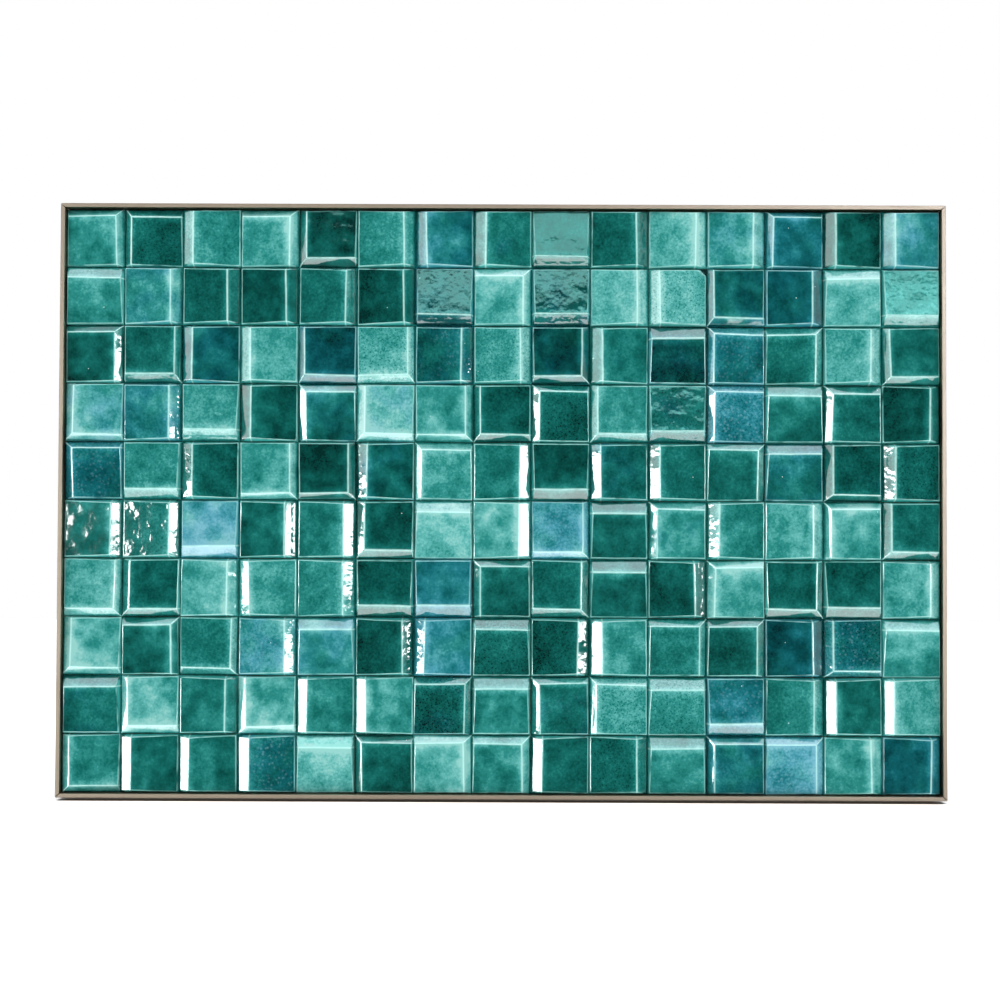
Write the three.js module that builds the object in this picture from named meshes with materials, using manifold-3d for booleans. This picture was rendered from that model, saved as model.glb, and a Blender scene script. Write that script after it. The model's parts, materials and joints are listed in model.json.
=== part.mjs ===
// Framed mosaic panel of bevelled, glazed ceramic tiles.
// Millimetres. X runs along the width, Z up the height, and the tiles face -Y.
// The origin is the centre of the backing board's back face, where the panel is fixed.
import * as THREE from 'three';
import { ConvexGeometry } from 'three/addons/geometries/ConvexGeometry.js';
import { mergeVertices } from 'three/addons/utils/BufferGeometryUtils.js';
import Module from 'manifold-3d';

const wasm = await Module();
wasm.setup();

// The field of tiles
const TILE_PITCH = 50.2;
const COLUMNS = 15;
const ROWS = 10;
const ROW_GAP = 0.3;

// One tile, measured up from the board
const FOOT_HEIGHT = 3;
const WALL_DRAFT_DEG = 14;
const SINGLE_BEVEL_WIDTH = 10;
const SINGLE_RIDGE_HEIGHT = 12.5;
const SINGLE_EDGE_HEIGHT = 6.5;
const SINGLE_FACE_FALL_DEG = 8;
const DOUBLE_BEVEL_WIDTH = 6.8;
const DOUBLE_RIDGE_HEIGHT = 12;
const DOUBLE_EDGE_HEIGHT = 7.3;
const DOUBLE_FACE_FALL_DEG = 5.5;
const EDGE_FLAT_WIDTH = 1.1;

// What hand pressing leaves: the furthest that a tile strays from its mould
const WIDTH_STRAY = 0.9;
const HEIGHT_STRAY = 0.5;
const SKEW_STRAY_DEG = 1.3;
const FALL_STRAY_DEG = 1.5;
const TILT_STRAY_DEG = 1.5;
const SEED = 4711;

// One tile lost a corner: its row and column, counted from the top left, and the cut along each side
const CHIPPED_ROW = 2;
const CHIPPED_COLUMN = 11;
const CHIP_SIDES = 'TR';
const CHIP_REACH = 6;

// The backing board and the frame
const BOARD_THICKNESS = 9;
const BOARD_CLEARANCE = 0.3;
const RAIL_FACE = 3.5;
const RAIL_PROUD = 0.5;
const SIDE_REVEAL = 0.3;
const END_REVEAL = 0.3;
const MITRE_GAP = 0.3;

// The sides of each tile that are bevelled, from the top row down: T top, R right, B bottom, L left.
// One letter is the mould with a wide bevel, two are the mould with a pair of narrow ones.
const BEVEL_CHART = [
  'TR LT L TR LB R L L B R R R LT L L',
  'T R R R R R B TR B R L LB R T B',
  'TR RB L L LB RB R R RB L T LT TR R LB',
  'LB R B L LT LB RB LB LT LB B LT T LT R',
  'LT B L RB RB L LT R B L L TR T LB L',
  'R R B R R LB T R RB T LT L R LT LB',
  'RB LB R L R B B LT RB T R LT RB B R',
  'LB TR RB R T R L T R L TR TR R LB T',
  'T LB R LB L L TR T LT LT T B R L L',
  'LB L L L T LT TR TR L R T LT TR R R',
].map((row) => row.split(' '));

const FIELD_WIDTH = COLUMNS * TILE_PITCH;
const FIELD_HEIGHT = ROWS * TILE_PITCH;
const OPENING_WIDTH = FIELD_WIDTH + 2 * SIDE_REVEAL;
const OPENING_HEIGHT = FIELD_HEIGHT + 2 * END_REVEAL;
const RAIL_DEPTH = BOARD_THICKNESS + SINGLE_RIDGE_HEIGHT + RAIL_PROUD;

// Outward directions of a tile's four sides, in the plane of the panel
const SIDES = {
  T: new THREE.Vector3(0, 0, 1),
  R: new THREE.Vector3(1, 0, 0),
  B: new THREE.Vector3(0, 0, -1),
  L: new THREE.Vector3(-1, 0, 0),
};
const OUT = new THREE.Vector3(0, -1, 0);

// Smaller than this, a distance in millimetres counts as nothing, and two corners as one
const TOUCHING = 0.0001;
const SAME_CORNER = 0.02;

// The numbered traits by which tiles stray; width and skew have one number for each bevel
const TRAIT = { height: 0, tilt: 1, width: 2, skew: 4, fall: 6 };

const radians = THREE.MathUtils.degToRad;

const glaze = new THREE.MeshStandardMaterial({ color: 0x2e968c, roughness: 0.1, metalness: 0 });
const satinMetal = new THREE.MeshStandardMaterial({ color: 0xb5aa9a, roughness: 0.4, metalness: 1 });
const plywood = new THREE.MeshStandardMaterial({ color: 0xb99b70, roughness: 0.8, metalness: 0 });

// A repeatable number from -1 to 1 for one trait of one tile. Squares of the modulus stay exact.
function stray(tile, trait) {
  const MODULUS = 67108859;
  const TILE_STEP = 7919;
  const TRAIT_STEP = 104729;
  const ROUNDS = 4;
  let state = (SEED + TILE_STEP * (tile + 1) + TRAIT_STEP * (trait + 1)) % MODULUS;
  for (let round = 0; round < ROUNDS; round += 1) {
    state = (state * state + SEED) % MODULUS;
  }
  return (2 * state) / MODULUS - 1;
}

// The plane through a point, facing a direction that leans from outward along `side` by an angle
function leaningPlane(side, leanDeg, point) {
  const normal = OUT.clone().multiplyScalar(Math.cos(radians(leanDeg)));
  normal.addScaledVector(side, Math.sin(radians(leanDeg)));
  return new THREE.Plane().setFromNormalAndCoplanarPoint(normal, point);
}

// The plane through a point whose height rises by `slope`, a vector in the plane of the panel
function risingPlane(slope, point) {
  return new THREE.Plane().setFromNormalAndCoplanarPoint(OUT.clone().sub(slope).normalize(), point);
}

// The corner where three planes meet, or null if they share a direction
function meet(a, b, c) {
  const bc = new THREE.Vector3().crossVectors(b.normal, c.normal);
  const ca = new THREE.Vector3().crossVectors(c.normal, a.normal);
  const ab = new THREE.Vector3().crossVectors(a.normal, b.normal);
  const volume = a.normal.dot(bc);
  if (Math.abs(volume) < TOUCHING) return null;
  return bc.multiplyScalar(-a.constant).addScaledVector(ca, -b.constant)
    .addScaledVector(ab, -c.constant).divideScalar(volume);
}

// A narrow flat along the edge between two planes, where the glaze rounds it off
function edgeRounding(a, b, centre) {
  const along = new THREE.Vector3().crossVectors(a.normal, b.normal).normalize();
  const onEdge = meet(a, b, new THREE.Plane().setFromNormalAndCoplanarPoint(along, centre));
  const normal = new THREE.Vector3().addVectors(a.normal, b.normal).normalize();
  const depth = (EDGE_FLAT_WIDTH / 2) * Math.tan(a.normal.angleTo(b.normal) / 2);
  onEdge.addScaledVector(normal, -depth);
  return new THREE.Plane().setFromNormalAndCoplanarPoint(normal, onEdge);
}

// The solid that lies behind every one of the planes
function solidBehind(planes) {
  const corners = [];
  for (let i = 0; i < planes.length; i += 1) {
    for (let j = i + 1; j < planes.length; j += 1) {
      for (let k = j + 1; k < planes.length; k += 1) {
        const corner = meet(planes[i], planes[j], planes[k]);
        if (corner && planes.every((plane) => plane.distanceToPoint(corner) < TOUCHING)
          && corners.every((other) => other.distanceTo(corner) > SAME_CORNER)) {
          corners.push(corner);
        }
      }
    }
  }
  return new ConvexGeometry(corners);
}

// Half the tile's size towards one side: rows keep a gap, and tiles in a row touch at their feet
function reach(side) {
  return side.x === 0 ? (TILE_PITCH - ROW_GAP) / 2 : TILE_PITCH / 2;
}

// How far the drafted wall has drawn in at a height
function drawnIn(height) {
  return (height - FOOT_HEIGHT) * Math.tan(radians(WALL_DRAFT_DEG));
}

function tilePlanes(centre, letters, tile) {
  const double = letters.length === 2;
  const width = double ? DOUBLE_BEVEL_WIDTH : SINGLE_BEVEL_WIDTH;
  const ridge = (double ? DOUBLE_RIDGE_HEIGHT : SINGLE_RIDGE_HEIGHT)
    + HEIGHT_STRAY * stray(tile, TRAIT.height);
  const edge = double ? DOUBLE_EDGE_HEIGHT : SINGLE_EDGE_HEIGHT;
  const fall = (double ? DOUBLE_FACE_FALL_DEG : SINGLE_FACE_FALL_DEG)
    + FALL_STRAY_DEG * stray(tile, TRAIT.fall);
  const tilt = TILT_STRAY_DEG * stray(tile, TRAIT.tilt);
  const place = (side, distance, height) => centre.clone()
    .addScaledVector(side, distance).addScaledVector(OUT, height);

  const base = new THREE.Plane().setFromNormalAndCoplanarPoint(OUT.clone().negate(), centre);
  const sides = Object.values(SIDES);
  const foot = sides.map((side) => leaningPlane(side, 90, place(side, reach(side), 0)));
  const walls = sides.map((side) => leaningPlane(
    side,
    90 - WALL_DRAFT_DEG,
    place(side, reach(side), FOOT_HEIGHT),
  ));

  // The face is highest at its ridges and falls away from them
  const bevelled = [...letters].map((letter) => SIDES[letter]);
  const widths = bevelled.map((side, i) => width + WIDTH_STRAY * stray(tile, TRAIT.width + i));
  const uphill = new THREE.Vector3();
  const ridgePoint = place(OUT, 0, ridge);
  bevelled.forEach((side, i) => {
    uphill.add(side);
    ridgePoint.addScaledVector(side, reach(side) - widths[i]);
  });
  const across = uphill.normalize().clone().cross(OUT);
  const slope = uphill.multiplyScalar(Math.tan(radians(fall)))
    .addScaledVector(across, -Math.tan(radians(tilt)));
  const face = risingPlane(slope, ridgePoint);

  // Each bevel drops to its edge, a little askew, and falls along its ridge as the face does
  const bevels = bevelled.map((side, i) => {
    const skew = radians(SKEW_STRAY_DEG * stray(tile, TRAIT.skew + i));
    const askew = side.clone().applyAxisAngle(OUT, skew);
    const along = askew.clone().cross(OUT);
    const drop = (ridge - edge) / (widths[i] - drawnIn(edge));
    const bevelSlope = along.clone().multiplyScalar(slope.dot(along)).addScaledVector(askew, -drop);
    return risingPlane(bevelSlope, ridgePoint);
  });

  const tops = [face, ...bevels];
  const ridges = tops.flatMap((top, index) => tops.slice(index + 1).map((next) => [top, next]));
  const rims = tops.flatMap((top) => walls.map((wall) => [top, wall]));
  const roundings = [...ridges, ...rims].map(([a, b]) => edgeRounding(a, b, centre));
  return [base, ...foot, ...walls, ...tops, ...roundings];
}

// A steep cut across one corner, from the foot up
function chipPlane(centre) {
  const corner = centre.clone();
  const outward = new THREE.Vector3();
  for (const letter of CHIP_SIDES) {
    corner.addScaledVector(SIDES[letter], reach(SIDES[letter]) - CHIP_REACH / 2);
    outward.add(SIDES[letter]);
  }
  corner.addScaledVector(OUT, FOOT_HEIGHT);
  return leaningPlane(outward.normalize(), 90 - WALL_DRAFT_DEG, corner);
}

function toSolid(geometry) {
  geometry.deleteAttribute('normal');
  geometry.deleteAttribute('uv');
  const merged = mergeVertices(geometry, TOUCHING);
  return new wasm.Manifold(new wasm.Mesh({
    numProp: 3,
    vertProperties: merged.getAttribute('position').array,
    triVerts: Uint32Array.from(merged.getIndex().array),
  }));
}

function toGeometry(solid) {
  const mesh = solid.getMesh();
  const geometry = new THREE.BufferGeometry();
  geometry.setAttribute('position', new THREE.BufferAttribute(mesh.vertProperties, 3));
  geometry.setIndex(new THREE.BufferAttribute(mesh.triVerts, 1));
  geometry.computeVertexNormals();
  return geometry;
}

// Fifteen tiles butted foot to foot, as one solid
function tileRow(row) {
  let solid = null;
  for (let column = 0; column < COLUMNS; column += 1) {
    const centre = new THREE.Vector3(
      (column - (COLUMNS - 1) / 2) * TILE_PITCH,
      -BOARD_THICKNESS,
      ((ROWS - 1) / 2 - row) * TILE_PITCH,
    );
    const chartRow = BEVEL_CHART[row % BEVEL_CHART.length];
    const planes = tilePlanes(centre, chartRow[column % chartRow.length], row * COLUMNS + column);
    if (row + 1 === CHIPPED_ROW && column + 1 === CHIPPED_COLUMN) planes.push(chipPlane(centre));
    const tile = toSolid(solidBehind(planes));
    solid = solid ? solid.add(tile) : tile;
  }
  const mesh = new THREE.Mesh(toGeometry(solid), glaze.clone());
  mesh.name = `tile_row_${row + 1}`;
  return mesh;
}

function backingBoard() {
  const width = OPENING_WIDTH - 2 * BOARD_CLEARANCE;
  const height = OPENING_HEIGHT - 2 * BOARD_CLEARANCE;
  const mesh = new THREE.Mesh(new THREE.BoxGeometry(width, BOARD_THICKNESS, height), plywood);
  mesh.name = 'backing_board';
  mesh.position.y = -BOARD_THICKNESS / 2;
  return mesh;
}

// A flat bar on edge with mitred ends, drawn as the lower rail and then turned to its side
function frameRail(name, openingAlong, openingAcross, turns) {
  const inner = openingAlong / 2 - MITRE_GAP / Math.SQRT2;
  const outer = inner + RAIL_FACE;
  const level = -openingAcross / 2;
  const shape = new THREE.Shape();
  shape.moveTo(-inner, level);
  shape.lineTo(-outer, level - RAIL_FACE);
  shape.lineTo(outer, level - RAIL_FACE);
  shape.lineTo(inner, level);
  shape.closePath();
  const geometry = new THREE.ExtrudeGeometry(shape, { depth: RAIL_DEPTH, bevelEnabled: false });
  geometry.rotateZ((turns * Math.PI) / 2);
  geometry.rotateX(Math.PI / 2);
  const mesh = new THREE.Mesh(geometry, satinMetal.clone());
  mesh.name = name;
  return mesh;
}

const panel = new THREE.Group();
panel.add(backingBoard());
panel.add(frameRail('frame_bottom', OPENING_WIDTH, OPENING_HEIGHT, 0));
panel.add(frameRail('frame_right', OPENING_HEIGHT, OPENING_WIDTH, 1));
panel.add(frameRail('frame_top', OPENING_WIDTH, OPENING_HEIGHT, 2));
panel.add(frameRail('frame_left', OPENING_HEIGHT, OPENING_WIDTH, 3));
for (let row = 0; row < ROWS; row += 1) {
  panel.add(tileRow(row));
}

export default panel;
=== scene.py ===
"""Looks of a framed mosaic panel: pressed ceramic tiles under a copper-green glaze, in a slim metal frame.

Metres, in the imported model's own frame: X along the width, Z up the height, and the tiles face -Y.
"""

import json
import math

import bmesh
import bpy
from bpy.props import FloatProperty, FloatVectorProperty, IntProperty, PointerProperty
from mathutils import Matrix, Vector

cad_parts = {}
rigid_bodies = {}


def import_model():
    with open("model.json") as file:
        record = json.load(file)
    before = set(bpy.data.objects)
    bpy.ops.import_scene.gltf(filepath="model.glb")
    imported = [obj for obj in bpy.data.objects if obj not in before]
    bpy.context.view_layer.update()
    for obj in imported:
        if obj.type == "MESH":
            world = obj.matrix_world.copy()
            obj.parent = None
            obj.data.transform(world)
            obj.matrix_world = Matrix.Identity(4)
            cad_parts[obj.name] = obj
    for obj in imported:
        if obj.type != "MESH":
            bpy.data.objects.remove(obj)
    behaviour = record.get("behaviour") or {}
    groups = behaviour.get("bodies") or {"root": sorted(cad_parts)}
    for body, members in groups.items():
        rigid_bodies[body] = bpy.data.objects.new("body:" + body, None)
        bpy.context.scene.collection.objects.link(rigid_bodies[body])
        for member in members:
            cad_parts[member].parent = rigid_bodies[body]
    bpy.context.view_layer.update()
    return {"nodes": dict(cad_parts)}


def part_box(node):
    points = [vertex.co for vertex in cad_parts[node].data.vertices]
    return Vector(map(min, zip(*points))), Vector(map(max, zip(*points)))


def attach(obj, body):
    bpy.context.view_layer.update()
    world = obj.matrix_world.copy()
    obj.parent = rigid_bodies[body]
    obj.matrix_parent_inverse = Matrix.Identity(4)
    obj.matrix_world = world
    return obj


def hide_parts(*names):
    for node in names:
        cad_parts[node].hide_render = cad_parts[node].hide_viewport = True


bl_info = {
    "name": "Glazed Mosaic Panel",
    "version": (1, 0, 0),
    "blender": (4, 5, 0),
    "location": "3D View > Sidebar > Mosaic",
    "description": "Presses and glazes the tiles, finishes the frame and board, and sets a plain stage",
    "category": "Add Mesh",
}

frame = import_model()
BODY = "root"

# The sides of each tile that are bevelled, from the top row down: T top, R right, B bottom, L left.
# One letter is the mould with a wide bevel, two are the mould with a pair of narrow ones.
BEVEL_CHART = [
    "TR LT L TR LB R L L B R R R LT L L",
    "T R R R R R B TR B R L LB R T B",
    "TR RB L L LB RB R R RB L T LT TR R LB",
    "LB R B L LT LB RB LB LT LB B LT T LT R",
    "LT B L RB RB L LT R B L L TR T LB L",
    "R R B R R LB T R RB T LT L R LT LB",
    "RB LB R L R B B LT RB T R LT RB B R",
    "LB TR RB R T R L T R L TR TR R LB T",
    "T LB R LB L L TR T LT LT T B R L L",
    "LB L L L T LT TR TR L R T LT TR R R",
]
ROWS = len(BEVEL_CHART)
COLUMNS = len(BEVEL_CHART[0].split())

# Directions of the sides across and up the panel, and the quarter turns that bring each mould there
SIDES = {"T": Vector((0, 1)), "R": Vector((1, 0)), "B": Vector((0, -1)), "L": Vector((-1, 0))}
QUARTER_TURNS = {"R": 0, "B": 1, "L": 2, "T": 3, "TR": 0, "RB": 1, "LB": 2, "LT": 3}

ROW_LOW, ROW_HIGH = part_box("tile_row_1")
BOARD_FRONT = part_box("backing_board")[0].y
FRAME_LOW, FRAME_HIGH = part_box("frame_bottom")
TILE_PITCH = (ROW_HIGH.x - ROW_LOW.x) / COLUMNS
ROW_HEIGHT = ROW_HIGH.z - ROW_LOW.z

# The numbered traits by which tiles stray; width and skew have one number for each bevel
HEIGHT, TILT, WIDTH, SKEW, FALL, TURN = 0, 1, 2, 4, 6, 7
TONE, BLUE, SPECKLE, OFFSET = 8, 9, 10, 11

# A plane this high above the board cuts nothing off a tile
OUT_OF_REACH = 1.0

# Where glaze pools, it lies this many times deeper than its full depth
POOLED_DEPTH = 1.25

# A bevel starts to be a low edge at the low edge's drop, and fully is one at this many times that drop
LOW_EDGE_END = 1.4

# How strong the glaze's unevenness is on the smoothest tiles, and on the most speckled ones
CLOUD_STRENGTHS = (1.3, 0.7)
MOTTLE_STRENGTHS = (0.6, 1.2)
PEEL_STRENGTHS = (0.25, 0.65)

# How strong a pale line is where it is faintest, and where it is strongest
LINE_STRENGTHS = (0.5, 1.2)

# Where a pattern starts to show, and where it shows fully
SPOT_RANGE = (0.40, 0.15)
SPOTTED_TILES = (0.85, 1.0)
BLOOM_RANGE = (0.44, 0.96)
CELL_RANGE = (0.45, 0.15)
CELLED_TILES = (0.3, 0.9)
CELLED_DEPTHS = (1.0, 0.5)
BARE_RIM_RANGE = (0.20, 0.52)
PINHOLE_RANGE = (0.08, 0.04)
WEAR_RANGE = (0.35, 0.7)

# Noise runs from nothing to one, around this
NOISE_MIDDLE = 0.5

# Points closer than this are one point, and edges flatter than this are no edges
MERGE_DISTANCE = 1e-6
FLAT_ANGLE = math.radians(1)

WHITE = (1.0, 1.0, 1.0)

# What only the pressing reads, and the glaze doesn't
TILE_ONLY = ("centre", "face", "bevel", "next_bevel", "chip", "turns", "double", "askew", "front", "lift")


def length(name, description, default):
    """A property that holds a size in metres."""
    return FloatProperty(
        name=name, description=description, default=default, min=0.0, precision=5, subtype="DISTANCE"
    )


def angle(name, description, degrees):
    """A property that holds an angle."""
    return FloatProperty(
        name=name, description=description, default=math.radians(degrees), precision=3, subtype="ANGLE"
    )


def share(name, description, default):
    """A property from nothing to all."""
    return FloatProperty(
        name=name, description=description, default=default, min=0.0, max=1.0, subtype="FACTOR"
    )


def amount(name, description, default):
    """A property that holds a plain number."""
    return FloatProperty(name=name, description=description, default=default, min=0.0)


def colour(name, description, default):
    """A property that holds a linear colour."""
    return FloatVectorProperty(
        name=name, description=description, default=default, min=0.0, max=1.0, size=3, subtype="COLOR"
    )


class MosaicTiles(bpy.types.PropertyGroup):
    """Sizes of the two tile moulds, and what pressing by hand leaves"""

    foot_height: length("Foot height", "Upright foot of a tile, above the board", 0.003)
    wall_draft: angle("Wall draft", "Lean of a tile's walls", 14)
    single_bevel_width: length("Wide bevel", "Width of the bevel on the mould that has one", 0.010)
    single_ridge_height: length("Wide bevel's ridge", "Height of its ridge above the board", 0.0125)
    single_edge_height: length("Wide bevel's edge", "Height of its low edge above the board", 0.0065)
    single_face_fall: angle("Wide bevel's face fall", "How far the face falls away from the ridge", 8)
    double_bevel_width: length("Narrow bevel", "Width of the bevels on the mould that has two", 0.0068)
    double_ridge_height: length("Narrow bevel's ridge", "Height of its ridges above the board", 0.012)
    double_edge_height: length("Narrow bevel's edge", "Height of its low edges above the board", 0.0073)
    double_face_fall: angle("Narrow bevel's face fall", "How far the face falls away from the corner", 5.5)
    width_stray: length("Width stray", "Furthest that a bevel strays in width", 0.0009)
    height_stray: length("Height stray", "Furthest that a ridge strays in height", 0.0005)
    skew_stray: angle("Skew stray", "Furthest that a ridge turns from its side", 1.3)
    fall_stray: angle("Fall stray", "Furthest that a face's fall strays", 1.5)
    tilt_stray: angle("Tilt stray", "Furthest that a face tilts along its ridge", 1.5)
    turn_stray: angle("Turn stray", "Furthest that a whole tile is turned in its place", 0.35)
    chipped_row: IntProperty(name="Chipped row", description="Row of the chipped tile", default=2)
    chipped_column: IntProperty(name="Chipped column", description="Column of the chipped tile", default=11)
    chip_reach: length("Chip", "How far the chip reaches along each side of its corner", 0.006)
    seed: IntProperty(name="Seed", description="Starts everything that strays", default=4711)
    tone_seed: IntProperty(name="Tone seed", description="Starts the tiles' tones", default=1313387)
    blue_seed: IntProperty(name="Blue seed", description="Starts the tiles' bluer bloom", default=1500797)
    ridge_rounding: length("Ridge rounding", "Depth over which the glaze rounds a ridge", 0.0007)
    rim_rounding: length("Rim rounding", "Depth over which the glaze rounds a rim", 0.0030)
    low_drop: length("Low edge's drop", "A bevel comes to its low edge this far under the face", 0.0035)
    low_rounding: length("Low edge's rounding", "What the rounding gains at a bevel's low edge", 0.0025)
    corner_rounding: length("Corner rounding", "Depth over which upright corners are rounded", 0.0060)
    warp: length("Warp", "How far edges wander from straight lines", 0.0007)
    warp_size: length("Warp size", "Length of one wander", 0.020)
    ripple: length("Ripple", "Height of the slow waves in the glaze", 0.00045)
    ripple_size: length("Ripple size", "Length of one slow wave", 0.012)
    joint: length("Joint", "Gap left between the feet of two tiles in a row", 0.0001)
    rim_zone: length("Rim zone", "Width of the fine mesh along the rims", 0.0033)
    rim_step: length("Rim step", "Size of the fine mesh along the rims", 0.00033)
    ridge_zone: length("Ridge zone", "Half the width of the fine mesh along a ridge", 0.0026)
    ridge_step: length("Ridge step", "Size of the fine mesh along a ridge", 0.0004)
    face_step: length("Face step", "Size of the mesh elsewhere", 0.0022)


class MosaicGlaze(bpy.types.PropertyGroup):
    """Colours and texture of the glaze"""

    broken: colour("Broken glaze", "Where the glaze breaks pale over an edge", (0.50, 0.84, 0.80))
    thinnest: colour("Thinnest glaze", "Glaze of no depth", (0.250, 0.534, 0.505))
    thin: colour("Thin glaze", "Glaze of a fifth of its full depth", (0.098, 0.377, 0.358))
    light: colour("Light glaze", "Glaze of two fifths of its full depth", (0.0240, 0.222, 0.202))
    middle: colour("Middling glaze", "Glaze of three fifths of its full depth", (0.0075, 0.127, 0.112))
    deep: colour("Deep glaze", "Glaze of four fifths of its full depth", (0.0032, 0.0706, 0.0610))
    deepest: colour("Deepest glaze", "Glaze of its full depth", (0.0012, 0.0233, 0.0200))
    pool: colour("Pooled glaze", "Glaze of a quarter more than its full depth", (0.0008, 0.0100, 0.0090))
    blue: colour("Blue", "What the bluer bloom leaves of the glaze's colour", (0.62, 0.75, 1.00))
    cell: colour("Cells", "The pale bubbles in the bluer bloom", (0.24, 0.46, 0.54))
    pinhole: colour("Pinholes", "The inside of a pinhole", (0.70, 0.92, 0.88))
    # Partly real, partly painted light: the glaze on the walls is thin, and its colour is also made paler to
    # lift the joints out of their shade.
    wall: colour("Wall glaze, partly painted light", "Thin glaze down the walls, with light behind it", (0.030, 0.42, 0.385))
    # Painted shade: the chip is coloured near-black, deepening with depth down its hollow, for the shade
    # inside it.
    chip: colour("Chip", "The dark hollow of the chip", (0.006, 0.030, 0.028))
    wall_tint: share("Wall's tint", "How far the walls take the wall glaze's colour", 0.75)
    # Where the painted shade in the chip starts, and where it is darkest.
    chip_lip: length("Chip's lip", "Depth down the chip at which its dark hollow starts", 0.0008)
    chip_hollow: length("Chip's hollow", "Depth down the chip at which its hollow is darkest", 0.0025)
    usual_depth: share("Usual depth", "Depth of the glaze, as a share of its full depth", 0.50)
    tone_spread: share("Tone spread", "How far tiles differ in depth of glaze", 0.37)
    depth_limit: amount("Deepest flow", "Depth that the glaze's own unevenness comes to at most", 1.07)
    depth_easing: share("Depth's easing", "How gently the depth comes to its limit", 0.45)
    cloud: share("Clouds", "How far the depth varies within a tile", 0.84)
    cloud_size: length("Cloud size", "Length of one cloud", 0.017)
    mottle: share("Mottle", "How strongly the glaze is mottled", 0.56)
    mottle_size: length("Mottle size", "Length of one mottle", 0.0022)
    spot: share("Spots", "How dark the spots of speckled tiles are", 0.22)
    spot_size: length("Spot size", "Distance between spots", 0.0022)
    bloom_size: length("Bloom size", "Length of one patch of the bluer bloom", 0.022)
    cell_size: length("Cell size", "Distance between pale cells", 0.0033)
    cell_strength: share("Cell strength", "How pale the cells are", 0.22)
    pooling: share("Pooling", "How far the glaze runs to the low side of a face", 0.08)
    pool_top: length("Pool's top", "Height above the board at which pooling starts", 0.0105)
    pool_foot: length("Pool's foot", "Height above the board at which pooling is full", 0.0068)
    halo: share("Halo", "How far the glaze thins on the face beside a ridge", 0.22)
    halo_reach: length("Halo's reach", "The halo starts this far under the bevel's plane", 0.0060)
    bevel_halo: length("Bevel's halo", "The halo on a bevel ends this far under the face", 0.0035)
    bevel_share: share("Bevels' share", "Share of the face's depth that stays on a bevel", 0.85)
    bevel_loss: share("Bevels' loss", "Depth that runs off a bevel", 0.03)
    edge_pooling: share("Edge pooling", "Depth gained at a bevel's low edge", 0.20)
    edge_reach: length("Edge pool's reach", "How deep the low edge's pool reaches", 0.0080)
    # Kept low partly as painted light, so that the walls stay pale in the joints' shade.
    wall_share: share("Walls' share", "Share of the depth that stays on the walls", 0.22)
    wall_reach: length("Walls' reach", "Depth down the wall by which the rest has run off", 0.0040)
    low_wall_loss: share("Low wall's loss", "How far a low edge keeps its wall from being bared", 0.5)
    crest: length("Crest", "Depth over which the glaze breaks at a ridge", 0.00100)
    crest_sharpness: amount("Crest's sharpness", "How steeply a pale line fades to its sides", 1.3)
    line_size: length("Line size", "Length over which a pale line comes and goes", 0.006)
    rim: length("Rim", "Depth over which the glaze thins at a rim", 0.0036)
    rim_loss: share("Rim's loss", "Share of the depth that the glaze loses at a rim", 0.90)
    rim_patch_size: length("Rim patches", "Length of the patches in which rims are bared", 0.014)
    rim_paleness: share("Rim's paleness", "How pale a bared rim is, against a ridge", 0.36)
    pinhole_share: share("Pinholes' share", "Share of the places for pinholes that have one", 0.13)
    pinhole_size: length("Pinhole spacing", "Distance between places for pinholes", 0.006)
    refraction: FloatProperty(name="Refraction", description="Refractive index of the glaze", default=1.62)
    roughness: share("Roughness", "Roughness of the glaze", 0.06)
    peel: length("Peel", "Height of the fine unevenness", 0.00012)
    peel_size: length("Peel size", "Length of the fine unevenness", 0.0034)
    low_edge_peel: amount("Low edge's peel", "What the fine unevenness gains at a low edge", 1.2)


class MosaicFrame(bpy.types.PropertyGroup):
    """Finish of the metal frame"""

    arris: length("Arris", "Rounding of the rails' edges", 0.0003)
    arris_steps: IntProperty(name="Arris steps", description="Facets across a rounded edge", default=3)
    metal: colour("Metal", "Colour of the metal", (0.54, 0.43, 0.30))
    worn: share("Worn metal", "Brightness of worn metal against the rest", 0.82)
    wear: share("Wear", "How far the metal is worn at most", 0.35)
    wear_size: length("Wear size", "Length of one worn patch", 0.05)
    grain_size: length("Grain size", "Width of one streak of the grain", 0.0006)
    grain_stretch: share("Grain stretch", "Scale of the grain along a rail", 0.02)
    grain_height: length("Grain height", "Height of the grain", 0.00002)
    roughness: share("Roughness", "Roughness of the metal", 0.42)
    roughness_spread: share("Roughness spread", "How far the grain makes the roughness vary", 0.18)


class MosaicBoard(bpy.types.PropertyGroup):
    """Finish of the backing board"""

    early_wood: colour("Early wood", "Pale part of the grain", (0.52, 0.37, 0.21))
    late_wood: colour("Late wood", "Dark part of the grain", (0.30, 0.18, 0.08))
    bend_size: length("Bend size", "Length of one bend of the grain", 0.05)
    rings: amount("Rings", "How closely the rings follow each other", 60.0)
    ring_strength: share("Ring strength", "How far the rings darken the wood", 0.45)
    grain_size: length("Grain size", "Width of one streak of the grain", 0.0018)
    grain_stretch: share("Grain stretch", "Scale of the grain across the panel", 0.06)
    grain_strength: share("Grain strength", "How far the grain darkens the wood", 0.6)
    grain_height: length("Grain height", "Height of the raised grain", 0.0002)
    roughness: share("Roughness", "Roughness of the smoothest grain", 0.72)
    roughness_gain: share("Roughness gain", "What the roughest grain adds", 0.12)


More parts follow.
